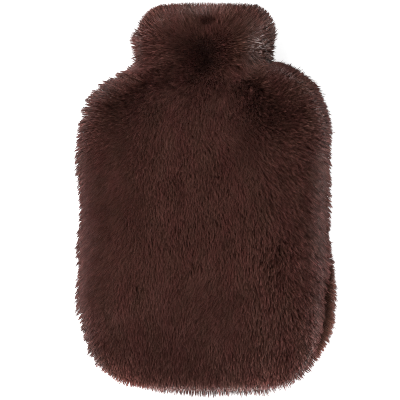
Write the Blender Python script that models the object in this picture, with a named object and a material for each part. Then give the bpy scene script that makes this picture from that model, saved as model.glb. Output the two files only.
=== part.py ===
"""Fur hot water bottle cover, lying on its back as if filled.

Two plush panels, a front and a back, are sewn together round the sides and the bottom.
They leave a pocket between them that is open at the top of the head, where the bottle goes in.
The frame is +X to the cover's right, +Y from the bottom hem to the mouth, +Z from the back to the front.
The origin is on the surface it lies on, under the middle of its outline.
Each solid reaches from the inside of the cloth to the tips of its pile.
"""

import math

import bpy

MM = 0.001

# Driving dimensions, millimetres
LENGTH = 370.0            # bottom pile tips to mouth pile tips
HALF = LENGTH / 2
SEAM_GAP = 0.5            # between the two panels where their edges meet
FRONT_END = -179.0        # the front panel stops short of the back panel at the bottom
FRONT_ROWS = 32           # sections along each panel
BACK_ROWS = 30
ARC = 22                  # facets across each face of a section

# How square a section is: 2 is an ellipse
FRONT_WIDE, FRONT_HIGH = 2.7, 2.15
BACK_WIDE, BACK_HIGH = 4.2, 2.1
POCKET_WIDE, POCKET_HIGH = 2.8, 2.2

# Pile tips of the front panel: y, reach to the left and right of the middle, height of the crown
FRONT_COLUMNS = ("y", "left", "right", "crown")
FRONT_SECTIONS = (
    (-179.0, 50.0, 60.0, 30.0),
    (-175.0, 72.0, 74.0, 38.0),
    (-167.0, 88.0, 89.0, 45.5),
    (-155.0, 103.0, 99.0, 53.0),
    (-140.0, 111.5, 106.0, 59.5),
    (-115.0, 117.0, 110.5, 66.0),
    (-84.0, 122.0, 114.5, 70.0),
    (-58.0, 118.0, 118.5, 71.5),
    (-38.0, 120.5, 116.0, 72.5),
    (-1.0, 117.0, 116.5, 73.0),
    (37.0, 121.0, 117.0, 72.5),
    (58.0, 120.5, 118.5, 71.0),
    (75.0, 118.0, 116.5, 68.5),
    (90.0, 112.0, 112.0, 65.0),
    (104.0, 101.5, 106.0, 60.5),
    (112.5, 90.0, 100.0, 57.5),
    (120.0, 75.5, 91.0, 54.5),
    (126.0, 68.0, 77.0, 52.5),
    (131.0, 67.0, 65.0, 51.5),
    (142.0, 68.5, 64.5, 54.0),
    (152.0, 68.0, 66.0, 58.0),
    (163.0, 65.5, 63.5, 59.5),
    (173.0, 58.5, 60.0, 57.0),
    (180.0, 50.0, 52.5, 52.0),
    (185.0, 42.0, 46.0, 46.0),
)

# Pile tips of the back panel: y, reach to the left and right, underside (below 0 is pressed flat on the surface)
BACK_COLUMNS = ("y", "left", "right", "under")
BACK_SECTIONS = (
    (-185.0, 14.0, 42.0, 17.0),
    (-182.0, 32.0, 56.0, 11.0),
    (-175.0, 70.0, 75.0, 5.0),
    (-167.0, 86.0, 91.0, 0.5),
    (-155.0, 101.0, 102.0, -2.5),
    (-140.0, 109.5, 111.0, -4.0),
    (-115.0, 115.0, 120.5, -5.0),
    (-84.0, 120.0, 122.0, -5.0),
    (-58.0, 117.0, 118.5, -5.0),
    (-38.0, 118.0, 114.5, -5.0),
    (-1.0, 115.0, 114.0, -5.0),
    (37.0, 119.0, 115.0, -5.0),
    (75.0, 116.0, 114.5, -4.5),
    (90.0, 110.0, 110.0, -4.0),
    (104.0, 99.5, 104.0, -3.5),
    (112.5, 88.0, 97.5, -3.0),
    (120.0, 74.0, 88.0, -3.0),
    (126.0, 66.0, 75.0, -3.0),
    (131.0, 65.0, 63.5, -3.0),
    (152.0, 66.0, 64.0, -3.5),
    (163.0, 63.5, 61.5, -3.0),
    (173.0, 57.0, 58.5, -1.5),
    (180.0, 49.0, 51.0, 2.0),
    (185.0, 41.0, 45.0, 5.5),
)

# Height of the side seam above the surface
SEAM_COLUMNS = ("y", "height")
SEAM_LINE = (
    (-185.0, 23.0),
    (-160.0, 25.0),
    (-115.0, 28.0),
    (-40.0, 30.0),
    (60.0, 30.0),
    (110.0, 27.0),
    (132.0, 25.5),
    (155.0, 27.0),
    (185.0, 26.5),
)

# The pocket between the panels: y, reach to the left and right, its roof and its floor.
# Roof and floor meet at the seam where the two cloths are sewn together, below y = -168.
POCKET_COLUMNS = ("y", "left", "right", "roof", "floor")
POCKET_SECTIONS = (
    (-185.0, 3.0, 24.0, 23.0, 23.0),
    (-182.0, 16.0, 40.0, 23.4, 23.4),
    (-175.0, 50.0, 52.0, 23.8, 23.8),
    (-168.0, 68.0, 68.0, 24.5, 24.5),
    (-163.0, 78.0, 75.0, 30.0, 18.5),
    (-153.0, 88.0, 85.0, 36.5, 13.5),
    (-138.0, 96.0, 93.0, 43.0, 10.0),
    (-113.0, 102.0, 98.0, 49.5, 9.0),
    (-84.0, 106.0, 101.0, 53.5, 9.0),
    (-40.0, 104.0, 101.0, 56.0, 9.0),
    (37.0, 105.0, 101.0, 56.0, 9.0),
    (60.0, 103.0, 102.0, 54.5, 9.0),
    (80.0, 97.0, 98.0, 51.5, 9.5),
    (95.0, 85.0, 90.0, 47.5, 10.5),
    (106.0, 70.0, 77.0, 43.5, 11.5),
    (115.0, 57.0, 61.0, 40.0, 12.5),
    (124.0, 51.0, 51.0, 37.5, 13.0),
    (132.0, 50.0, 49.0, 36.5, 13.0),
    (142.0, 52.0, 49.5, 38.5, 12.0),
    (155.0, 52.0, 51.0, 42.0, 11.0),
    (166.0, 49.5, 49.0, 42.5, 11.5),
    (176.0, 43.5, 44.0, 40.0, 14.0),
    (185.0, 33.5, 36.5, 36.5, 16.0),
)

# Places where the pile parts and dips on the front: centre, radii and depth
DIP_COLUMNS = ("x", "y", "across", "along", "depth")
DIPS = {
    "neck_parting": (1.0, 136.0, 34.0, 15.0, 4.5),
    "head_dimple": (3.0, 169.0, 15.0, 9.0, 4.5),
    "right_shoulder": (43.0, 95.0, 26.0, 18.0, 4.0),
    "left_shoulder": (-76.0, 94.0, 24.0, 16.0, 2.5),
    "left_waist": (-120.0, -12.0, 16.0, 22.0, 2.0),
}

# Linear colour, roughness
FRONT_PLUSH = ((0.050, 0.019, 0.016), 0.78)
BACK_PLUSH = ((0.046, 0.017, 0.014), 0.82)


class Curve:
    """A smooth curve through one column of a table, with no overshoot between its rows."""

    def __init__(self, rows, columns, name):
        at = columns.index(name)
        self.x = [row[0] for row in rows]
        self.v = [row[at] for row in rows]
        n = len(rows)
        h = [self.x[i + 1] - self.x[i] for i in range(n - 1)]
        d = [(self.v[i + 1] - self.v[i]) / h[i] for i in range(n - 1)]
        self.m = [d[0]] + [0.0] * (n - 2) + [d[-1]]
        for i in range(1, n - 1):
            if d[i - 1] * d[i] > 0:
                w1, w2 = 2 * h[i] + h[i - 1], h[i] + 2 * h[i - 1]
                self.m[i] = (w1 + w2) / (w1 / d[i - 1] + w2 / d[i])

    def __call__(self, y):
        y = min(max(y, self.x[0]), self.x[-1])
        i = 0
        while i < len(self.x) - 2 and y > self.x[i + 1]:
            i += 1
        h = self.x[i + 1] - self.x[i]
        t = (y - self.x[i]) / h
        a, b = self.v[i], self.v[i + 1]
        return (
            a * (1 + 2 * t) * (1 - t) ** 2
            + b * t * t * (3 - 2 * t)
            + h * (self.m[i] * t * (1 - t) ** 2 - self.m[i + 1] * t * t * (1 - t))
        )


def curves(rows, columns):
    return {name: Curve(rows, columns, name) for name in columns[1:]}


FRONT = curves(FRONT_SECTIONS, FRONT_COLUMNS)
BACK = curves(BACK_SECTIONS, BACK_COLUMNS)
POCKET = curves(POCKET_SECTIONS, POCKET_COLUMNS)
SEAM = curves(SEAM_LINE, SEAM_COLUMNS)["height"]


def stations(low, high, count):
    """Section places from low to high, closer together towards both ends."""
    mid, half = (low + high) / 2, (high - low) / 2
    places = []
    for i in range(count + 1):
        u = -1 + 2 * i / count
        places.append(mid + half * (0.45 * u + 0.55 * math.sin(u * math.pi / 2)))
    return places


def rounded(angle, left, right, rise, wide, high):
    """A point of a rounded half section: across, and away from the seam level."""
    c, s = math.cos(angle), max(0.0, math.sin(angle))
    reach = right if c >= 0 else left
    return math.copysign(abs(c) ** (2 / wide), c) * reach, rise * s ** (2 / high)


def dip(x, y):
    """How far the parted pile lies below the even crown."""
    total = 0.0
    for cx, cy, across, along, depth in DIPS.values():
        r = ((x - cx) / across) ** 2 + ((y - cy) / along) ** 2
        total += depth * math.exp(-1.4 * r)
    return total


def front_tip(y, angle):
    seam = SEAM(y)
    x, z = rounded(angle, FRONT["left"](y), FRONT["right"](y), FRONT["crown"](y) - seam, FRONT_WIDE, FRONT_HIGH)
    z -= dip(x, y) * math.sin(angle) ** 0.5 if 0 < angle < math.pi else 0.0
    return x, y, seam + max(z, 0.0) + SEAM_GAP


def front_cloth(y, angle):
    seam = SEAM(y)
    rise = max(POCKET["roof"](y) - seam, 0.0)
    x, z = rounded(angle, POCKET["left"](y), POCKET["right"](y), rise, POCKET_WIDE, POCKET_HIGH)
    return x, y, seam + z + SEAM_GAP


def back_tip(y, angle):
    seam = SEAM(y)
    x, z = rounded(angle, BACK["left"](y), BACK["right"](y), seam - BACK["under"](y), BACK_WIDE, BACK_HIGH)
    return x, y, max(seam - z, 0.0)


def back_cloth(y, angle):
    seam = SEAM(y)
    drop = max(seam - POCKET["floor"](y), 0.0)
    x, z = rounded(angle, POCKET["left"](y), POCKET["right"](y), drop, POCKET_WIDE, POCKET_HIGH)
    return x, y, seam - z


def angles():
    """From the right seam over to the left seam, closer together at the sides."""
    steps = []
    for i in range(ARC + 1):
        u = i / ARC
        steps.append(math.pi * (u - 0.055 * math.sin(4 * math.pi * u) / math.pi))
    return steps


def panel(name, tip, cloth, places, colour, roughness, upward):
    """A shell of one cloth: its pile tips outside, its plain side inside, closed at the seam and at both ends."""
    turns = angles()
    verts, faces = [], []
    ring = 2 * (ARC + 1)
    for y in places:
        for a in turns:
            verts.append([v * MM for v in tip(y, a)])
        for a in reversed(turns):
            verts.append([v * MM for v in cloth(y, a)])
    for j in range(len(places) - 1):
        for i in range(ring):
            a, b = j * ring + i, j * ring + (i + 1) % ring
            faces.append((a, b, b + ring, a + ring))
    last = (len(places) - 1) * ring
    for i in range(ARC):
        near, far = i, ring - 1 - i
        faces.append((near, far, far - 1, near + 1))
        faces.append((last + near, last + near + 1, last + far - 1, last + far))
    if upward:
        faces = [tuple(reversed(f)) for f in faces]
    mesh = bpy.data.meshes.new(name)
    mesh.from_pydata(verts, [], faces)
    mesh.update()
    mesh.shade_smooth()
    mesh.set_sharp_from_angle(angle=math.radians(40))
    made = bpy.data.objects.new(name, mesh)
    bpy.context.scene.collection.objects.link(made)
    finish = bpy.data.materials.new(name + "_plush")
    finish.use_nodes = True
    shader = finish.node_tree.nodes["Principled BSDF"]
    shader.inputs["Base Color"].default_value = (*colour, 1.0)
    shader.inputs["Roughness"].default_value = roughness
    shader.inputs["Metallic"].default_value = 0.0
    mesh.materials.append(finish)
    return made


def main():
    for thing in list(bpy.data.objects):
        bpy.data.objects.remove(thing)
    panel("front_panel", front_tip, front_cloth, stations(FRONT_END, HALF, FRONT_ROWS), *FRONT_PLUSH, upward=True)
    panel("back_panel", back_tip, back_cloth, stations(-HALF, HALF, BACK_ROWS), *BACK_PLUSH, upward=False)


main()
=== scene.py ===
"""Looks of a plush hot water bottle cover: two backed panels, and their pile as real tapering hairs.

The pile grows from the cloth of each panel and reaches the tips that the solid panels state.
Sizes are in millimetres in the tables and in metres everywhere else.
"""

import math

import bpy
import numpy as np
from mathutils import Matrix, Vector
from mathutils.bvhtree import BVHTree
from mathutils.kdtree import KDTree


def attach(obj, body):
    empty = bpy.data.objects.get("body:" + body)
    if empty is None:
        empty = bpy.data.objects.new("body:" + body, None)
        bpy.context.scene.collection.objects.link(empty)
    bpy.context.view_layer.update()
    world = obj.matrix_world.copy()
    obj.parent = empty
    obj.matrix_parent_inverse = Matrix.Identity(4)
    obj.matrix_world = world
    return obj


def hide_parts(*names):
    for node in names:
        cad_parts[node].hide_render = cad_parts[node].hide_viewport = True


MM = 0.001
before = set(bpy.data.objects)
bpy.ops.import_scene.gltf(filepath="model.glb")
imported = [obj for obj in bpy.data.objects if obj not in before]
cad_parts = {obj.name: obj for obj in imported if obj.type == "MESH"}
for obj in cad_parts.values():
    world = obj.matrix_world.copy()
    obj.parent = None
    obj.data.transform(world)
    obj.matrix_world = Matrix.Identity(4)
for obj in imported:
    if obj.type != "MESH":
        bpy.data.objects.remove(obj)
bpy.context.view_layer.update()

# ---------------------------------------------------------------- sizes

# Outer face of the cloth, under the pile: y, reach left and right of the middle, roof and floor
CLOTH_COLUMNS = ("y", "left", "right", "roof", "floor")
CLOTH = (
    (-170.0, 67.0, 67.0, 24.8, 24.4),
    (-168.5, 73.0, 71.5, 28.0, 21.0),
    (-163.0, 81.5, 78.5, 33.0, 16.0),
    (-153.0, 90.5, 87.5, 38.8, 11.3),
    (-138.0, 98.2, 95.2, 45.2, 7.9),
    (-113.0, 104.2, 100.2, 51.6, 7.0),
    (-84.0, 108.2, 103.2, 55.6, 7.0),
    (-40.0, 106.2, 103.2, 58.1, 7.0),
    (37.0, 107.2, 103.2, 58.1, 7.0),
    (60.0, 105.2, 104.2, 56.6, 7.0),
    (80.0, 99.3, 100.3, 53.6, 7.5),
    (95.0, 87.5, 92.5, 49.6, 8.5),
    (106.0, 72.5, 79.5, 45.6, 9.5),
    (115.0, 59.3, 63.5, 42.0, 10.5),
    (124.0, 53.0, 53.0, 39.5, 11.0),
    (132.0, 52.0, 51.0, 38.5, 11.0),
    (142.0, 54.0, 51.5, 40.5, 10.0),
    (155.0, 54.0, 53.0, 44.0, 9.0),
    (166.0, 51.5, 51.0, 44.5, 9.5),
    (174.0, 46.5, 47.0, 42.5, 11.5),
    (178.5, 42.5, 43.5, 40.5, 13.0),
)
SEAM_COLUMNS = ("y", "height")
SEAM = (
    (-185.0, 23.0),
    (-160.0, 25.0),
    (-115.0, 28.0),
    (-40.0, 30.0),
    (60.0, 30.0),
    (110.0, 27.0),
    (132.0, 25.5),
    (155.0, 27.0),
    (185.0, 26.5),
)
SEAM_GAP = 0.5
CLOTH_THICK = 2.0
WIDE, HIGH = 2.8, 2.2
BOTTOM, MOUTH = -170.0, 178.5
# The back panel shows past the front one low on the right: middle, reach along and how far it shows
BULGE_Y, BULGE_ALONG, BULGE_OUT = -95.0, 50.0, 9.0

# Where the hairs stand up: middle, reach across and along, and how upright
STANDING_COLUMNS = ("x", "y", "across", "along", "upright")
STANDING = {
    "neck": (3.0, 136.0, 26.0, 19.0, 0.85),
    "right_shoulder": (72.0, 82.0, 40.0, 36.0, 0.55),
    "right_side": (78.0, 25.0, 20.0, 60.0, 0.22),
    "left_shoulder": (-68.0, 94.0, 20.0, 14.0, 0.25),
}
# Where the pile is combed away from: middle, pull, reach and how wide the change of way in the middle is
WHORL_COLUMNS = ("x", "y", "pull", "reach", "soft")
WHORLS = {
    "neck": (3.0, 133.0, 1.0, 1e6, 3.0),
    "right_shoulder": (63.0, 91.0, 1.4, 38.0, 14.0),
    "left_shoulder": (-72.0, 93.0, 1.05, 34.0, 10.0),
}
DIMPLE = (3.0, 162.5)
# Where the combing swings round: middle, reach across and along, and by how many degrees to the left
SWEPT_COLUMNS = ("x", "y", "across", "along", "turn")
SWEPT = {
    "head_right": (38.0, 131.0, 18.0, 19.0, -78.0),
    "head_left": (-46.0, 134.0, 18.0, 18.0, 38.0),
    "chest_right": (22.0, 52.0, 14.0, 14.0, 28.0),
    "left_middle": (-48.0, 12.0, 24.0, 52.0, 38.0),
    "left_low": (-62.0, -100.0, 22.0, 48.0, 28.0),
    "low_middle": (12.0, -105.0, 40.0, 52.0, -42.0),
    "right_low": (68.0, -112.0, 22.0, 60.0, -30.0),
    "right_middle": (60.0, -35.0, 20.0, 40.0, -18.0),
}
# Where the hairs lie over further, and so shine: middle, reach across and along, and how much further
COMBED_COLUMNS = ("x", "y", "across", "along", "more")
COMBED = {
    "head_right": (36.0, 137.0, 8.0, 20.0, 1.4),
    "head_right_low": (26.0, 119.0, 9.0, 10.0, 0.5),
    "head_right_side": (48.0, 140.0, 11.0, 20.0, 1.2),
    "head_left": (-56.0, 128.0, 12.0, 14.0, 0.8),
    "left_edge": (-112.0, -30.0, 16.0, 85.0, 1.2),
    "right_flank": (97.0, -15.0, 7.0, 75.0, 0.8),
    "head_top": (-30.0, 168.0, 30.0, 12.0, 0.5),
    "above_dimple": (4.0, 172.0, 18.0, 5.0, 1.2),
    "below_neck": (-14.0, 98.0, 58.0, 15.0, 0.65),
    "right_top": (84.0, 97.0, 9.0, 9.0, 0.6),
}
# Patches where light and shade are painted into the pile's colour: painted shade darkens the crease of the notch, the
# hollows, the shoulders, the lower part and the base under the sheen of the head; painted light lightens the rims, the
# chest, the neck and the ring and fan round the dimple; middle, reach across and along, and the change of shade
PAINTED_LIGHT_AND_SHADE_COLUMNS = ("x", "y", "across", "along", "more")
PAINTED_LIGHT_AND_SHADE = {
    "head_right_edge": (60.0, 134.0, 11.0, 24.0, -0.42),
    "notch": (62.0, 112.0, 15.0, 13.0, -0.52),
    "head_top": (-45.0, 176.0, 26.0, 10.0, 0.14),
    "left_shoulder": (-96.0, 98.0, 28.0, 24.0, -0.29),
    "left_edge": (-107.0, -15.0, 19.0, 98.0, -0.55),
    "right_shoulder": (78.0, 106.0, 30.0, 26.0, -0.30),
    "right_hollow": (74.0, 84.0, 28.0, 22.0, -0.26),
    "middle": (-5.0, -10.0, 60.0, 90.0, 0.07),
    "lower_left": (-46.0, -140.0, 54.0, 32.0, -0.36),
    "left_shoulder_inside": (-52.0, 102.0, 24.0, 15.0, 0.15),
    "bottom_edge": (-56.0, -179.0, 44.0, 11.0, 0.86),
    "bottom_edge_right": (74.0, -176.0, 24.0, 12.0, 0.42),
    "right_flank": (90.0, -5.0, 7.0, 80.0, -0.14),
    "right_edge": (108.0, 40.0, 8.0, 45.0, 0.12),
    "middle_right": (40.0, -35.0, 24.0, 55.0, 0.09),
    "lower_patch": (-36.0, -92.0, 14.0, 22.0, -0.10),
    "below_neck_right": (38.0, 103.0, 13.0, 10.0, 0.26),
    "right_inside": (68.0, -72.0, 18.0, 34.0, 0.13),
    "left_inside": (-80.0, -15.0, 15.0, 50.0, 0.07),
    "above_neck": (3.0, 154.0, 24.0, 8.0, -0.14),
    "right_shoulder_rim": (99.0, 114.0, 15.0, 17.0, 0.88),
    "chest": (-14.0, 74.0, 52.0, 32.0, 0.18),
    "neck": (-6.0, 117.0, 22.0, 14.0, 0.22),
    "below_dimple": (3.0, 153.0, 12.0, 4.0, 0.20),
    "bottom_left": (-86.0, -164.0, 28.0, 18.0, 0.56),
    "bottom_right": (76.0, -166.0, 20.0, 16.0, 0.12),
    "bottom_middle": (-10.0, -161.0, 52.0, 18.0, -0.28),
    "lower_right": (102.0, -125.0, 22.0, 40.0, 0.24),
    "head_sheen": (38.0, 140.0, 12.0, 22.0, -0.64),
    "head_left": (-54.0, 131.0, 13.0, 17.0, -0.22),
    "head_left_top": (-50.0, 168.0, 15.0, 10.0, 0.13),
    "head_right_top": (64.0, 166.0, 10.0, 11.0, 0.26),
    "left_hollow": (-80.0, 74.0, 12.0, 12.0, 0.10),
    "left_low": (-96.0, -134.0, 12.0, 14.0, -0.14),
    "right_chest": (33.0, 46.0, 16.0, 18.0, -0.16),
    "head_middle_right": (22.0, 138.0, 8.0, 12.0, -0.12),
    "fan": (4.0, 173.0, 18.0, 5.0, 0.18),
}
# Where the pile is matted and shines less: middle, reach across and along, and by how much
MATTED_COLUMNS = ("x", "y", "across", "along", "less")
MATTED = {
    "right_shoulder": (86.0, 106.0, 34.0, 28.0, 0.88),
    "right_edge": (108.0, -40.0, 8.0, 110.0, 0.75),
    "head_right_edge": (57.0, 134.0, 8.5, 32.0, 0.88),
    "head_right_top": (54.0, 170.0, 14.0, 14.0, 0.7),
    "left_edge": (-112.0, -20.0, 18.0, 110.0, 0.72),
    "head_right": (28.0, 137.0, 8.0, 15.0, 0.50),
}
# Where the pile is a little redder, or greyer: the greyer patch on the right of the head paints the grey of the sheen
# there, and the redder rims paint light shining through the hair tips; middle, reach across and along, and by how much
TINTED_COLUMNS = ("x", "y", "across", "along", "redder")
TINTED = {
    "left_rim": (-122.0, -15.0, 22.0, 125.0, 0.62),
    "left_shoulder_rim": (-104.0, 112.0, 22.0, 16.0, 0.18),
    "head_left": (-62.0, 142.0, 24.0, 34.0, 0.34),
    "head_right": (44.0, 134.0, 16.0, 26.0, -0.28),
    "bottom": (-2.0, -188.0, 80.0, 16.0, 0.38),
    "bottom_left": (-84.0, -165.0, 26.0, 20.0, 0.08),
    "bottom_right": (84.0, -168.0, 28.0, 20.0, 0.22),
    "lower_left": (-50.0, -135.0, 52.0, 30.0, 0.09),
}
# How much further than the solid's tips the sparse ends of the pile go: middle, reach across and along, and by how much
FRINGE_COLUMNS = ("panel", "x", "y", "across", "along", "more")
FRINGE = (
    ("front", 125.0, -76.0, 25.0, 24.0, -4.2),
    ("front", 125.0, -114.0, 25.0, 24.0, 2.4),
    ("back", 125.0, -110.0, 30.0, 45.0, 1.5),
    ("front", 90.0, 112.0, 26.0, 22.0, 1.0),
    ("back", 90.0, 112.0, 26.0, 22.0, 1.0),
    ("front", -84.0, 118.0, 15.0, 9.0, -4.0),
    ("back", -84.0, 118.0, 15.0, 9.0, -4.0),
    ("front", 120.0, 20.0, 30.0, 75.0, 1.5),
    ("back", 120.0, 20.0, 30.0, 75.0, 1.5),
    ("front", 25.0, -180.0, 66.0, 12.0, 2.5),
    ("back", 68.0, -172.0, 30.0, 16.0, 6.0),
    ("back", -20.0, -180.0, 56.0, 12.0, 6.0),
    ("front", -98.0, 102.0, 20.0, 14.0, 4.0),
    ("back", -98.0, 102.0, 20.0, 14.0, 3.0),
    ("front", 65.0, 129.0, 12.0, 8.0, -12.0),
    ("back", 65.0, 129.0, 12.0, 8.0, -12.0),
    ("front", -64.0, 163.0, 16.0, 15.0, 9.5),
    ("back", -64.0, 163.0, 16.0, 15.0, 9.5),
    ("front", -76.0, -172.0, 14.0, 9.0, 1.5),
    ("back", -76.0, -172.0, 14.0, 9.0, 1.5),
    ("front", 80.0, -171.0, 12.0, 9.0, 4.0),
    ("front", 45.0, -183.0, 24.0, 8.0, 3.5),
    ("back", 45.0, -183.0, 24.0, 8.0, 3.0),
    ("front", -68.0, 126.0, 10.0, 7.0, -3.0),
    ("back", -68.0, 126.0, 10.0, 7.0, -3.0),
)


class Curve:
    """A smooth curve through one column of a table, with no overshoot between its rows."""

    def __init__(self, rows, columns, name):
        at = columns.index(name)
        self.x = np.array([r[0] for r in rows], float)
        self.v = np.array([r[at] for r in rows], float)
        h, d = np.diff(self.x), np.diff(self.v) / np.diff(self.x)
        m = np.zeros(len(rows))
        m[0], m[-1] = d[0], d[-1]
        w1, w2 = 2 * h[1:] + h[:-1], h[1:] + 2 * h[:-1]
        same = d[:-1] * d[1:] > 0
        with np.errstate(divide="ignore", invalid="ignore"):
            m[1:-1] = np.where(same, (w1 + w2) / (w1 / d[:-1] + w2 / d[1:]), 0.0)
        self.m = m

    def __call__(self, y):
        y = np.clip(y, self.x[0], self.x[-1])
        i = np.clip(np.searchsorted(self.x, y, side="right") - 1, 0, len(self.x) - 2)
        h = self.x[i + 1] - self.x[i]
        t = (y - self.x[i]) / h
        return (
            self.v[i] * (1 + 2 * t) * (1 - t) ** 2
            + self.v[i + 1] * t * t * (3 - 2 * t)
            + h * (self.m[i] * t * (1 - t) ** 2 - self.m[i + 1] * t * t * (1 - t))
        )


cloth_at = {n: Curve(CLOTH, CLOTH_COLUMNS, n) for n in CLOTH_COLUMNS[1:]}
seam_at = Curve(SEAM, SEAM_COLUMNS, "height")


def unit(v):
    return v / np.maximum(np.linalg.norm(v, axis=-1, keepdims=True), 1e-12)


def smooth(t):
    t = np.clip(t, 0, 1)
    return t * t * (3 - 2 * t)


def waves(p, scale, seed, octaves=3):
    """Smooth seeded noise from about -1 to 1 at points p, in metres, as sums of slanted waves."""
    rng = np.random.default_rng(seed)
    total, size = np.zeros(len(p)), 0.0
    for o in range(octaves):
        k = 2 * math.pi / scale * 1.9**o
        part = np.zeros(len(p))
        for _ in range(6):
            d = rng.normal(size=3)
            d /= np.linalg.norm(d)
            part += np.sin(p @ d * k * rng.uniform(0.7, 1.3) + rng.uniform(0, 6.28))
        total += part / 6 * 1.6 / 1.7**o
        size += 1 / 1.7**o
    return total / size * 1.5


# ---------------------------------------------------------------- cloth


def section_angles(count):
    """Angles from the right seam over to the left one, evenly spaced along a middle section of the cloth."""
    a = np.linspace(0, math.pi, 4001)
    c, s = np.cos(a), np.sin(a).clip(0, 1)
    x = np.sign(c) * np.abs(c) ** (2 / WIDE) * 104
    z = s ** (2 / HIGH) * 27
    along = np.concatenate([[0], np.cumsum(np.hypot(np.diff(x), np.diff(z)))])
    return np.interp(np.linspace(0, along[-1], count + 1), along, a)


def cloth_grid(front, rows, columns):
    """Points of a panel's outer cloth face: rows from the bottom seam to the mouth, columns from the right seam to the left one."""
    u = np.linspace(-1, 1, rows + 1)
    y = (BOTTOM + MOUTH) / 2 + (MOUTH - BOTTOM) / 2 * (0.4 * u + 0.6 * np.sin(u * math.pi / 2))
    y, a = np.meshgrid(y, section_angles(columns), indexing="ij")
    c, s = np.cos(a), np.sin(a).clip(0, 1)
    right = cloth_at["right"](y)
    if not front:
        right = right + BULGE_OUT * np.exp(-(((y - BULGE_Y) / BULGE_ALONG) ** 4))
    reach = np.where(c >= 0, right, cloth_at["left"](y))
    x = np.sign(c) * np.abs(c) ** (2 / WIDE) * reach
    seam = seam_at(y)
    rise = cloth_at["roof"](y) - seam if front else seam - cloth_at["floor"](y)
    z = np.maximum(rise, 0) * s ** (2 / HIGH)
    z = seam + z + SEAM_GAP if front else seam - z
    return np.stack([x, y, z], -1) * MM


def grid_normals(points, front):
    along = np.gradient(points, axis=0)
    across = np.gradient(points, axis=1)
    n = unit(np.cross(along, across))
    n = n if front else -n
    middle = n[n.shape[0] // 2, n.shape[1] // 2, 2]
    if (middle > 0) != front:
        n = -n
    n[:, 0, 2] = n[:, -1, 2] = 0
    return unit(n)


def link(name, mesh):
    made = bpy.data.objects.new(name, mesh)
    bpy.context.scene.collection.objects.link(made)
    return made


def cloth_piece(name, front, rows=60, columns=46):
    """The backing cloth of a panel as one sheet with its own thickness."""
    points = cloth_grid(front, rows, columns)
    faces = []
    for j in range(rows):
        for i in range(columns):
            a = j * (columns + 1) + i
            f = (a, a + 1, a + columns + 2, a + columns + 1)
            faces.append(f if front else f[::-1])
    mesh = bpy.data.meshes.new(name)
    mesh.from_pydata(points.reshape(-1, 3).tolist(), [], faces)
    mesh.update()
    o = link(name, mesh)
    up = sum(p.normal.z * p.area for p in mesh.polygons)
    if (up > 0) != front:
        mesh.flip_normals()
    mesh.shade_smooth()
    thick = o.modifiers.new("cloth", "SOLIDIFY")
    thick.thickness = CLOTH_THICK * MM
    thick.offset = -1
    return o


# ---------------------------------------------------------------- pile


def pile_depth(points, normals, node, front):
    """How far the pile stands off the cloth at each grid point: the way out to the tips of the solid panel."""
    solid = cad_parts[node].data
    outer = [p for p in solid.polygons if (p.normal.z > -0.3 if front else p.normal.z < 0.3)]
    tree = BVHTree.FromPolygons([v.co.copy() for v in solid.vertices], [tuple(p.vertices) for p in outer])
    depth = np.full(points.shape[:2], np.nan)
    for j in range(points.shape[0]):
        for i in range(points.shape[1]):
            n = Vector(normals[j, i])
            hit = tree.ray_cast(Vector(points[j, i]) + n * 0.0005, n, 0.04)
            if hit[0] is not None:
                depth[j, i] = hit[3] + 0.0005
    usual = np.nanmedian(depth)
    for row in depth:
        known = ~np.isnan(row)
        if known.any():
            row[:] = np.interp(np.arange(len(row)), np.flatnonzero(known), row[known])
        else:
            row[:] = usual
    depth = np.clip(depth, 0.006, 0.019)
    for _ in range(5):
        pad = np.pad(depth, 1, mode="edge")
        depth = (pad[1:-1, 1:-1] * 4 + pad[:-2, 1:-1] + pad[2:, 1:-1] + pad[1:-1, :-2] + pad[1:-1, 2:]) / 8
    return depth


def scatter(points, weight, count, rng):
    """count places spread evenly over the grid, as rows, columns and the way across each cell."""
    a, b = points[:-1, :-1], points[:-1, 1:]
    c, d = points[1:, 1:], points[1:, :-1]
    area = np.linalg.norm(np.cross(b - a, c - a), axis=-1) / 2
    area += np.linalg.norm(np.cross(c - a, d - a), axis=-1) / 2
    area *= (weight[:-1, :-1] + weight[1:, 1:]) / 2
    total = np.cumsum(area.ravel())
    pick = (np.arange(count) + rng.random(count)) / count * total[-1]
    cell = np.clip(np.searchsorted(total, pick), 0, area.size - 1)
    return cell // area.shape[1], cell % area.shape[1], rng.random(count), rng.random(count)


def at_places(field, places):
    j, i, u, v = places
    if field.ndim == 3:
        u, v = u[:, None], v[:, None]
    return (
        field[j, i] * (1 - u) * (1 - v)
        + field[j, i + 1] * u * (1 - v)
        + field[j + 1, i + 1] * u * v
        + field[j + 1, i] * (1 - u) * v
    )


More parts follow.
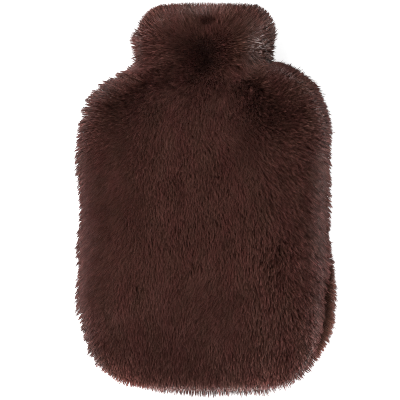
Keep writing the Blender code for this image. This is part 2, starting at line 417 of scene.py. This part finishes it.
def flow(root, normal, front):
    """Which way the pile is combed at each root, and how far it lies over: 0 stands up, 1 lies well over."""
    x, y = root[:, 0] / MM, root[:, 1] / MM
    way = np.zeros((len(root), 3))
    side = np.hypot(normal[:, 0], normal[:, 1])
    if front:
        for cx, cy, pull, reach, soft in WHORLS.values():
            dx, dy = x - cx, y - cy
            r = np.hypot(np.hypot(dx, dy), soft)
            near = pull * np.exp(-((dx * dx + dy * dy) / reach**2))
            way[:, 0] += near * dx / r
            way[:, 1] += near * dy / r
        way[:, 1] -= 0.45 * smooth((132 - y) / 34)
        way[:, 1] += 0.5 * smooth((y - 134) / 14)
        # the small fan of hairs above the dimple in the head
        dx, dy = x - DIMPLE[0], y - DIMPLE[1]
        r = np.hypot(dx, dy) + 1e-6
        near = 2.4 * np.exp(-((r / 14) ** 2)) * smooth((dy + 1) / 6)
        way[:, 0] += near * dx / r
        way[:, 1] += near * dy / r
        upright = 0.85 - 0.85 * smooth(np.hypot(way[:, 0], way[:, 1]) / 0.5)
        turn = np.zeros(len(root))
        for cx, cy, across, along, degrees in SWEPT.values():
            turn += math.radians(degrees) * np.exp(-(((x - cx) / across) ** 2) - ((y - cy) / along) ** 2)
        c, s = np.cos(turn), np.sin(turn)
        way[:, :2] = np.stack([c * way[:, 0] - s * way[:, 1], s * way[:, 0] + c * way[:, 1]], 1)
        for cx, cy, across, along, stand in STANDING.values():
            upright = np.maximum(upright, stand * np.exp(-(((x - cx) / across) ** 2) - ((y - cy) / along) ** 2))
    else:
        way[:, 0] = x / 110
        way[:, 1] = -0.8 + 1.8 * smooth((y - 130) / 30)
        upright = np.zeros(len(root))
    way[:, :2] += 0.45 * normal[:, :2] * (0.3 + 0.7 * smooth((110 - y) / 30))[:, None]
    way = unit(way)
    # at an edge that the combing runs along or away from, the hairs stand out from it
    across_slope = way[:, 0] * normal[:, 0] + way[:, 1] * normal[:, 1]
    upright = np.maximum(upright, 0.75 * side * smooth((0.55 - across_slope / np.maximum(side, 0.05)) / 0.6))
    # on a slope that faces against the combing, as below the neck, they lie over further
    over = (1 - upright) * (1 + 2.5 * np.maximum(0, -across_slope) * smooth((0.8 - side) / 0.4) * front)
    # and where the slope already carries them out, they lie along it instead
    out = 0.6 * np.maximum(0, across_slope) * smooth(side / 0.6) / np.maximum(side, 0.05) ** 2
    way[:, :2] -= out[:, None] * normal[:, :2]
    if front:
        for cx, cy, across, along, further in COMBED.values():
            over += further * np.exp(-(((x - cx) / across) ** 2) - ((y - cy) / along) ** 2)
    return way, over


LEVELS, TONES = 12, 10


def pile(stem, front, grid, total, parts, rng, *, under, wide, lean, material):
    """Hairs of a panel as flat tapering blades, in as many meshes as parts names: guard hairs bend, the shorter undercoat does not."""
    points, normals, depth, weight = grid
    places = scatter(points, weight, total, rng)
    root = at_places(points, places)
    normal = unit(at_places(normals, places))
    deep = at_places(depth, places)
    comb, over = flow(root, normal, front)
    side = np.hypot(normal[:, 0], normal[:, 1])

    # uneven combing, in soft swathes and hair by hair
    right = smooth((root[:, 0] / MM - 25) / 35)
    locks = np.exp(-(((root[:, 0] / MM - 36) / 17) ** 2) - ((root[:, 1] / MM - 128) / 30) ** 2) * front
    turn = 0.18 * waves(root, 0.060, 11) + 0.10 * waves(root, 0.016, 12) + rng.normal(0, 0.17, total) * (1 + 0.6 * locks)
    c, s = np.cos(turn)[:, None], np.sin(turn)[:, None]
    along = comb - (comb * normal).sum(1, keepdims=True) * normal
    along = along * c + np.cross(normal, comb) * s
    along -= (along * normal).sum(1, keepdims=True) * normal

    # a few stray guard hairs are longer
    stray = (rng.random(total) > 0.988) & (not under)
    length = rng.uniform(0.50, 0.86, total) if under else 1 - (0.20 - 0.12 * side) * rng.random(total) ** 1.3
    length = np.where(stray, rng.uniform(1.05, 1.16, total), length)
    # painted light: on the flat middle the undercoat reaches further up the colour ramp, which lifts the shade in the
    # gaps between the guard hairs
    plain = (1 - smooth(side / 0.4)) * smooth((110 - root[:, 1] / MM) / 20)
    ends = (0.73 + 0.15 * plain) * length.clip(0, 1) if under else np.ones(total)
    length *= 1 + 0.035 * waves(root, 0.025, 13)
    if front:
        pit = np.exp(-(np.hypot((root[:, 0] / MM - DIMPLE[0]) / 6.4, (root[:, 1] / MM - DIMPLE[1]) / 5.0) ** 4))
        length *= 1 - 0.7 * pit
    more = 0.8 + 1.4 * side
    for panel, cx, cy, reach_x, reach_y, much in FRINGE:
        if (panel == "front") == front:
            more += much * np.exp(-(((root[:, 0] / MM - cx) / reach_x) ** 2) - ((root[:, 1] / MM - cy) / reach_y) ** 2)
    tall = np.maximum(deep + more * MM, 0.006) * length
    lay = lean * (1.20 - 0.20 * smooth(side / 0.5) + 0.5 * smooth((side - 0.6) / 0.3)) * over * (1 + 0.14 * waves(root, 0.040, 14) + rng.normal(0, 0.14, total) * (1 + right))
    bend = rng.normal(0, 0.045, (total, 3)) * (tall * (1 + 0.3 * right * smooth((side - 0.55) / 0.3)))[:, None]

    # where the back panel shows past the front one its pile turns up a little
    grow = normal
    if front:
        droop = 0.45 * smooth((side - 0.7) / 0.3) * smooth((root[:, 0] / MM - 30) / 30) * smooth((root[:, 1] / MM - 10) / 50)
        grow = unit(normal - droop[:, None] * np.array([0.0, 0.0, 1.0]))
    else:
        shown = np.exp(-(((root[:, 1] / MM - BULGE_Y) / (BULGE_ALONG + 12)) ** 4)) * smooth((root[:, 0] / MM - 85) / 15)
        grow = unit(normal + (0.45 * shown)[:, None] * np.array([0.0, -0.5, 1.0]))

    def line(t):
        t = np.broadcast_to(t, total)
        return (
            root
            + grow * (tall * (1.15 * t - 0.15 * t * t))[:, None]
            + along * (tall * lay * t**1.6)[:, None]
            + bend * (t * t)[:, None]
        )

    # the hairs round the mouth are short, and end at a rounded edge
    crown = 184.0 if front else 187.5 - 2.0 * smooth((10 - root[:, 0] / MM) / 30)
    crown = crown - 9 * np.abs((line(1.0)[:, 0] / MM - 3) / np.where(root[:, 0] < 0, 60.9, 60.0)).clip(0, 1.3) ** 6
    ahead = (line(1.0)[:, 1] - root[:, 1]) / MM
    room = crown - root[:, 1] / MM - rng.random(total) ** 2 * 1.2 + 1.0 * waves(root, 0.010, 16) - 0.5
    tall *= np.where(ahead > room, (room / np.maximum(ahead, 0.1)).clip(0.45, 1), 1)
    steps = [np.zeros(total), np.ones(total)] if under else [np.zeros(total), 0.52 + 0.32 * side**2, np.ones(total)]
    path = np.stack([line(t) for t in steps], 1)

    # locks: neighbouring hairs draw together towards their tips, in tufts and in finer ones within them
    area = np.linalg.norm(np.cross(np.gradient(points, axis=0), np.gradient(points, axis=1)), axis=-1).sum()
    shade = []
    rim = smooth((side - 0.72) / 0.2)
    high_up = np.maximum(smooth((root[:, 0] / MM - 35) / 30) * smooth((root[:, 1] / MM - 20) / 40), smooth((root[:, 1] / MM - 112) / 12))
    rim *= 1 - 0.75 * high_up
    rim *= 1 - 0.55 * smooth((-normal[:, 1] - 0.5) / 0.3)
    head = smooth((root[:, 1] / MM - 110) / 15)
    tufts = (
        (0.0031, 0.45, 0.85, rim),
        (0.0017, 0.12, 0.50, 0.32 + (1.58 - 0.45 * head) * np.maximum(side**2, 0.70 * right) + 1.0 * locks),
        (0.0010, 0.08, 0.40, 0.65 + 1.1 * side**2 + 0.7 * head),
    )
    for spacing, low, high, where in tufts:
        count = int(area / spacing**2)
        lead = rng.permutation(total)[:count]
        tree = KDTree(count)
        for n, k in enumerate(lead):
            tree.insert(root[k], n)
        tree.balance()
        lock = np.array([tree.find(p)[1] for p in root])
        strength = rng.uniform(low, high, count)[lock] * where
        strength *= np.where(stray, 0.2, 1.0)
        shade.append(rng.random(count)[lock])
        offset = root - root[lead[lock]]
        if not len(shade) > 1:
            # the tufts at the rim end unevenly
            path = root[:, None] + (path - root[:, None]) * (1 + 0.14 * (shade[0] - 0.7) * rim)[:, None, None]
        for k, t in enumerate(steps[1:], 1):
            share = (strength * t**1.3)[:, None]
            path[:, k] = path[:, k] * (1 - share) + (path[lead[lock], k] + offset * 0.15) * share

    last = len(steps) - 1
    tangent = unit(np.stack([path[:, min(k + 1, last)] - path[:, max(k - 1, 0)] for k in range(last + 1)], 1))
    lift = side[:, None] * np.array([0.0, 0.0, 0.9])
    face = unit(normal + lift - 0.2 * along + rng.normal(0, 0.25, (total, 3)))
    across = unit(np.cross(tangent, face[:, None, :]))
    outward = unit(np.cross(across, tangent))
    outward = unit(outward * 0.8 + normal[:, None, :] * 0.2)
    half = wide * 0.5 * (1 + 0.25 * side**2) * (1 + rng.normal(0, 0.18, total)).clip(0.55, 1.6)
    verts, norms = [], []
    for k in range(last):
        h = (half * (1.0, 0.92)[k])[:, None]
        for sign in (-1, 1):
            verts.append(path[:, k] + sign * across[:, k] * h)
            norms.append(unit(outward[:, k] * 0.7 + sign * across[:, k] * 0.7))
    verts.append(path[:, last])
    norms.append(outward[:, last])
    verts, norms = np.stack(verts, 1), np.stack(norms, 1)
    verts[..., 2] = np.maximum(verts[..., 2], 0.0001)

    # each hair keeps one of a few shades and one of a few tones, which place it on the colour map
    level = 0.30 * rng.random(total) + 0.40 * shade[2] + 0.30 * shade[1]
    # the last term darkens the hairs where the cloth slopes away: painted shade on the slopes
    level = 0.5 + (level - 0.5) * (0.12 + 2.0 * smooth(side / 0.6) + 0.6 * head * (1 - 2.4 * smooth((side - 0.45) / 0.3)) + 0.4 * right + 1.7 * locks) + 0.03 - 0.12 * smooth((side - 0.15) / 0.4)
    # painted light: the hairs at the rim, and most at the edges facing down the cover, are lighter, as if lit from the
    # pale floor
    low = np.maximum(0, -normal[:, 1])
    level += 0.13 * smooth((side - 0.86) / 0.12) + 0.20 * smooth((low - 0.5) / 0.35)
    # painted shade: darker towards the bottom of the cover, away from its rim
    level -= 0.07 * smooth((-50 - root[:, 1] / MM) / 70) * smooth((0.55 - low) / 0.25)
    if front:
        # painted shade in the pit of the dimple
        level -= 0.5 * pit
    else:
        # painted light on the back panel's pile where it shows past the front one, which shades it
        level += 0.50 * shown
    # painted light and shade, patch by patch; on the back panel only near its rim
    for cx, cy, across_x, along_y, change in PAINTED_LIGHT_AND_SHADE.values():
        near = np.exp(-(((root[:, 0] / MM - cx) / across_x) ** 2) - ((root[:, 1] / MM - cy) / along_y) ** 2)
        level += change * near * (1 if front else smooth(side / 0.6))
    level = np.clip((level * LEVELS).astype(int), 0, LEVELS - 1)
    gloss = (1 - 0.6 * smooth((side - 0.78) / 0.18)) * (1 + (0.7 * smooth(side / 0.5) + 2.9 * locks) * (0.6 * shade[1] + 0.4 * shade[2] - 0.5)).clip(0.1, 1.3)
    for cx, cy, across_x, along_y, less in MATTED.values():
        gloss *= 1 - less * np.exp(-(((root[:, 0] / MM - cx) / across_x) ** 2) - ((root[:, 1] / MM - cy) / along_y) ** 2)
    stretched = root * np.array([1.0, 0.5, 1.0])
    tone = 0.5 + 0.26 * waves(stretched, 0.022, 15) + rng.normal(0, 0.18, total)
    for cx, cy, across_x, along_y, redder in TINTED.values():
        tone += redder * np.exp(-(((root[:, 0] / MM - cx) / across_x) ** 2) - ((root[:, 1] / MM - cy) / along_y) ** 2)
    if not front:
        tone -= 0.50 * shown
    tone = np.clip((tone * TONES).astype(int), 0, TONES - 1)
    column = level * TONES + tone
    reach = np.stack([steps[k] * ends for k in range(last) for _ in range(2)] + [ends], 1)
    corners = np.array([0, 1, 2] if under else [0, 1, 3, 2, 2, 3, 4])
    starts = np.array([0] if under else [0, 4])
    wide_u = np.array([0.28, 0.72, 0.5] if under else [0.28, 0.72, 0.72, 0.28, 0.28, 0.72, 0.5])
    each = 2 * last + 1

    made = []
    for label, part in zip(parts, np.array_split(np.arange(total), len(parts)), strict=True):
        count = len(part)
        corner = (np.arange(count) * each)[:, None] + corners
        mesh = bpy.data.meshes.new(stem + label)
        mesh.vertices.add(count * each)
        mesh.vertices.foreach_set("co", verts[part].astype(np.float32).ravel())
        mesh.loops.add(corner.size)
        mesh.loops.foreach_set("vertex_index", corner.astype(np.int32).ravel())
        mesh.polygons.add(count * len(starts))
        start = (np.arange(count) * len(corners))[:, None] + starts
        mesh.polygons.foreach_set("loop_start", start.astype(np.int32).ravel())
        mesh.update(calc_edges=True)
        mesh.shade_smooth()
        mesh.normals_split_custom_set_from_vertices(norms[part].reshape(-1, 3).astype(np.float32))
        tint = np.zeros((count, each, 4))
        tint[..., 0] = reach[part]
        tint[..., 1] = ((level[part] + 0.5) / LEVELS)[:, None]
        tint[..., 2] = ((tone[part] + 0.5) / TONES)[:, None]
        tint[..., 3] = 1
        colour = mesh.color_attributes.new("pile", "FLOAT_COLOR", "POINT")
        colour.data.foreach_set("color", tint.astype(np.float32).ravel())
        shine = mesh.attributes.new("gloss", "FLOAT", "POINT")
        shine.data.foreach_set("value", np.repeat(gloss[part], each).astype(np.float32))
        uv = np.zeros((count, len(corners), 2))
        uv[..., 0] = (column[part][:, None] + wide_u) / (LEVELS * TONES)
        uv[..., 1] = reach[part][:, corners] * 0.96 + 0.02
        mesh.uv_layers.new(name="OFBake").data.foreach_set("uv", uv.astype(np.float32).ravel())
        mesh.materials.append(material)
        o = link(stem + label, mesh)
        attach(o, "root")
        made.append(o)
    return made


# ---------------------------------------------------------------- materials


def node(tree, kind, **settings):
    made = tree.nodes.new(kind)
    for key, value in settings.items():
        setattr(made, key, value)
    return made


def ramp_of(tree, source, *stops):
    made = node(tree, "ShaderNodeValToRGB")
    tree.links.new(source, made.inputs["Fac"])
    while len(made.color_ramp.elements) < len(stops):
        made.color_ramp.elements.new(0.5)
    for element, (at, colour) in zip(made.color_ramp.elements, stops, strict=True):
        element.position = at
        element.color = (*colour, 1)
    return made.outputs["Color"]


def pile_material(name, root, mid, tip, *, rough, gloss, sheen):
    """Hair colour that lightens from root to tip, and varies by hair, by lock and in broad patches, many of them
    painted light and shade.
    """
    made = bpy.data.materials.new(name)
    made.use_nodes = True
    t = made.node_tree
    shader = t.nodes["Principled BSDF"]
    attribute = node(t, "ShaderNodeVertexColor", layer_name="pile")
    split = node(t, "ShaderNodeSeparateColor")
    t.links.new(attribute.outputs["Color"], split.inputs["Color"])
    colour = ramp_of(t, split.outputs["Red"], (0.12, root), (0.70, mid), (0.99, tip))
    # the shade ramp turns a little greyer at its light end: a painted hint of the grey of a sheen on the lightest hairs
    shade = ramp_of(t, split.outputs["Green"], (0.0, (0.27, 0.255, 0.25)), (0.5, (0.56, 0.56, 0.56)), (0.84, (0.90, 0.905, 0.92)), (1.0, (1.34, 1.31, 1.35)))
    tone = ramp_of(t, split.outputs["Blue"], (0.1, (0.86, 0.99, 0.92)), (0.5, (0.94, 0.94, 0.94)), (0.9, (1.02, 0.87, 0.94)))
    for other in (shade, tone):
        mix = node(t, "ShaderNodeMix", data_type="RGBA", blend_type="MULTIPLY")
        mix.inputs["Factor"].default_value = 1.0
        t.links.new(colour, mix.inputs["A"])
        t.links.new(other, mix.inputs["B"])
        colour = mix.outputs["Result"]
    t.links.new(colour, shader.inputs["Base Color"])
    shader.inputs["Roughness"].default_value = rough
    matted = node(t, "ShaderNodeAttribute", attribute_name="gloss")
    shine = node(t, "ShaderNodeMath", operation="MULTIPLY")
    t.links.new(matted.outputs["Fac"], shine.inputs[0])
    shine.inputs[1].default_value = gloss
    t.links.new(shine.outputs[0], shader.inputs["Specular IOR Level"])
    shader.inputs["Specular Tint"].default_value = (1.0, 0.93, 0.91, 1)
    shader.inputs["Sheen Weight"].default_value = sheen
    shader.inputs["Sheen Roughness"].default_value = 0.4
    shader.inputs["Sheen Tint"].default_value = (1.0, 0.72, 0.66, 1)
    return made


def backing_material(name, colour):
    """The knitted back of the plush: dark ribs with a fine purl."""
    made = bpy.data.materials.new(name)
    made.use_nodes = True
    t = made.node_tree
    shader = t.nodes["Principled BSDF"]
    place = node(t, "ShaderNodeTexCoord")
    knit = node(t, "ShaderNodeTexVoronoi", feature="F1")
    knit.inputs["Scale"].default_value = 620.0
    t.links.new(place.outputs["Object"], knit.inputs["Vector"])
    rib = node(t, "ShaderNodeTexWave", wave_type="BANDS", bands_direction="X")
    rib.inputs["Scale"].default_value = 180.0
    rib.inputs["Distortion"].default_value = 1.2
    t.links.new(place.outputs["Object"], rib.inputs["Vector"])
    total = node(t, "ShaderNodeMath", operation="MULTIPLY_ADD")
    t.links.new(knit.outputs["Distance"], total.inputs[0])
    total.inputs[1].default_value = 0.6
    t.links.new(rib.outputs["Fac"], total.inputs[2])
    dark, light = tuple(v * 0.55 for v in colour), tuple(v * 1.35 for v in colour)
    t.links.new(ramp_of(t, total.outputs[0], (0.0, dark), (1.0, light)), shader.inputs["Base Color"])
    bump = node(t, "ShaderNodeBump")
    bump.inputs["Strength"].default_value = 0.5
    bump.inputs["Distance"].default_value = 0.0006
    t.links.new(total.outputs[0], bump.inputs["Height"])
    t.links.new(bump.outputs["Normal"], shader.inputs["Normal"])
    shader.inputs["Roughness"].default_value = 0.9
    shader.inputs["Specular IOR Level"].default_value = 0.15
    return made


pile_look = pile_material(
    "plush_pile", (0.038, 0.0132, 0.0090), (0.117, 0.0427, 0.0311), (0.27, 0.113, 0.095), rough=0.285, gloss=0.8, sheen=0.0
)
backing = backing_material("knitted_backing", (0.030, 0.012, 0.009))

# ---------------------------------------------------------------- build

PANELS_COLUMNS = ("front", "guard hairs", "parts", "undercoat", "extra at the sides")
PANELS = {
    "front_panel": (True, 152000, ("_lower", "_middle", "_upper"), 122000, 0.7),
    "back_panel": (False, 98000, ("_lower", "_upper"), 62000, 1.3),
}
rng = np.random.default_rng(20)
for name, (front, hairs, parts, short, extra) in PANELS.items():
    stem = name.split("_")[0]
    cloth = cloth_piece(stem + "_cloth", front)
    cloth.data.materials.append(backing)
    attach(cloth, "root")
    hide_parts(name)
    points = cloth_grid(front, 150, 110)
    normals = grid_normals(points, front)
    depth = pile_depth(points, normals, name, front)
    weight = 1 + extra * np.hypot(normals[..., 0], normals[..., 1])
    weight += 1.2 * smooth((points[..., 0] / MM - 45) / 30) * smooth((points[..., 1] / MM - 50) / 30) * np.hypot(normals[..., 0], normals[..., 1])
    if not front:
        shown = np.exp(-(((points[..., 1] / MM - BULGE_Y) / (BULGE_ALONG + 12)) ** 4))
        weight += 4 * shown * smooth((points[..., 0] / MM - 88) / 15)
    made = []
    for stem_of, total, labels, under, wide in (("_pile", hairs, parts, False, 0.31), ("_undercoat", short, ("",), True, 0.42)):
        made += pile(
            stem + stem_of,
            front,
            (points, normals, depth, weight),
            total,
            labels,
            rng,
            under=under,
            wide=wide * MM,
            lean=0.36,
            material=pile_look,
        )

# ---------------------------------------------------------------- stage

floor_mesh = bpy.data.meshes.new("floor")
floor_mesh.from_pydata([(-3, -3, 0), (3, -3, 0), (3, 3, 0), (-3, 3, 0)], [], [(0, 1, 2, 3)])
floor = link("floor", floor_mesh)
pale = bpy.data.materials.new("pale_floor")
pale.use_nodes = True
p = pale.node_tree.nodes["Principled BSDF"]
p.inputs["Base Color"].default_value = (0.35, 0.35, 0.35, 1)
p.inputs["Roughness"].default_value = 0.9
p.inputs["Specular IOR Level"].default_value = 0.0
p.inputs["Emission Color"].default_value = (1, 1, 1, 1)
p.inputs["Emission Strength"].default_value = 0.79
floor_mesh.materials.append(pale)

world = bpy.data.worlds.new("studio")
world.use_nodes = True
t = world.node_tree
sky = node(t, "ShaderNodeTexCoord")
split = node(t, "ShaderNodeSeparateXYZ")
t.links.new(sky.outputs["Generated"], split.inputs["Vector"])
glow = ramp_of(t, split.outputs["Z"], (0.0, (0.35, 0.35, 0.35)), (0.35, (0.6, 0.6, 0.6)), (1.0, (1.25, 1.25, 1.25)))
t.links.new(glow, t.nodes["Background"].inputs["Color"])
t.nodes["Background"].inputs["Strength"].default_value = 0.78
bpy.context.scene.world = world


def softbox(name, at, size, power):
    data = bpy.data.lights.new(name, "AREA")
    data.shape = "RECTANGLE"
    data.size, data.size_y = size
    data.energy = power
    lamp = bpy.data.objects.new(name, data)
    bpy.context.scene.collection.objects.link(lamp)
    lamp.location = at
    lamp.rotation_euler = (Vector((0, 0, 0.03)) - Vector(at)).to_track_quat("-Z", "Y").to_euler()


softbox("key_left", (-0.82, -0.02, 1.25), (0.35, 0.5), 35)
softbox("fill_right", (0.9, -0.8, 0.85), (0.9, 0.7), 10)

# The photo's frame: 400 pixels of 0.9415 mm, centred a little left of the cover's middle
PIXEL = 370.0 / 393.0 * MM
LENS = 150.0
camera_data = bpy.data.cameras.new("camera")
camera_data.lens = LENS
camera_data.sensor_width = 36.0
camera = bpy.data.objects.new("camera", camera_data)
bpy.context.scene.collection.objects.link(camera)
far = 400 * PIXEL * LENS / 36.0
camera.location = ((200 - 205) * PIXEL, (199 - 200) * PIXEL, 0.028 + far)
camera.rotation_euler = (0, 0, 0)
camera_data.clip_start, camera_data.clip_end = 0.1, 20
bpy.context.scene.camera = camera
bpy.context.scene.view_settings.view_transform = "Standard"
bpy.context.scene.view_settings.look = "None"
bpy.context.scene.cycles.filter_width = 0.85
bpy.context.scene.cycles.denoising_prefilter = "NONE"
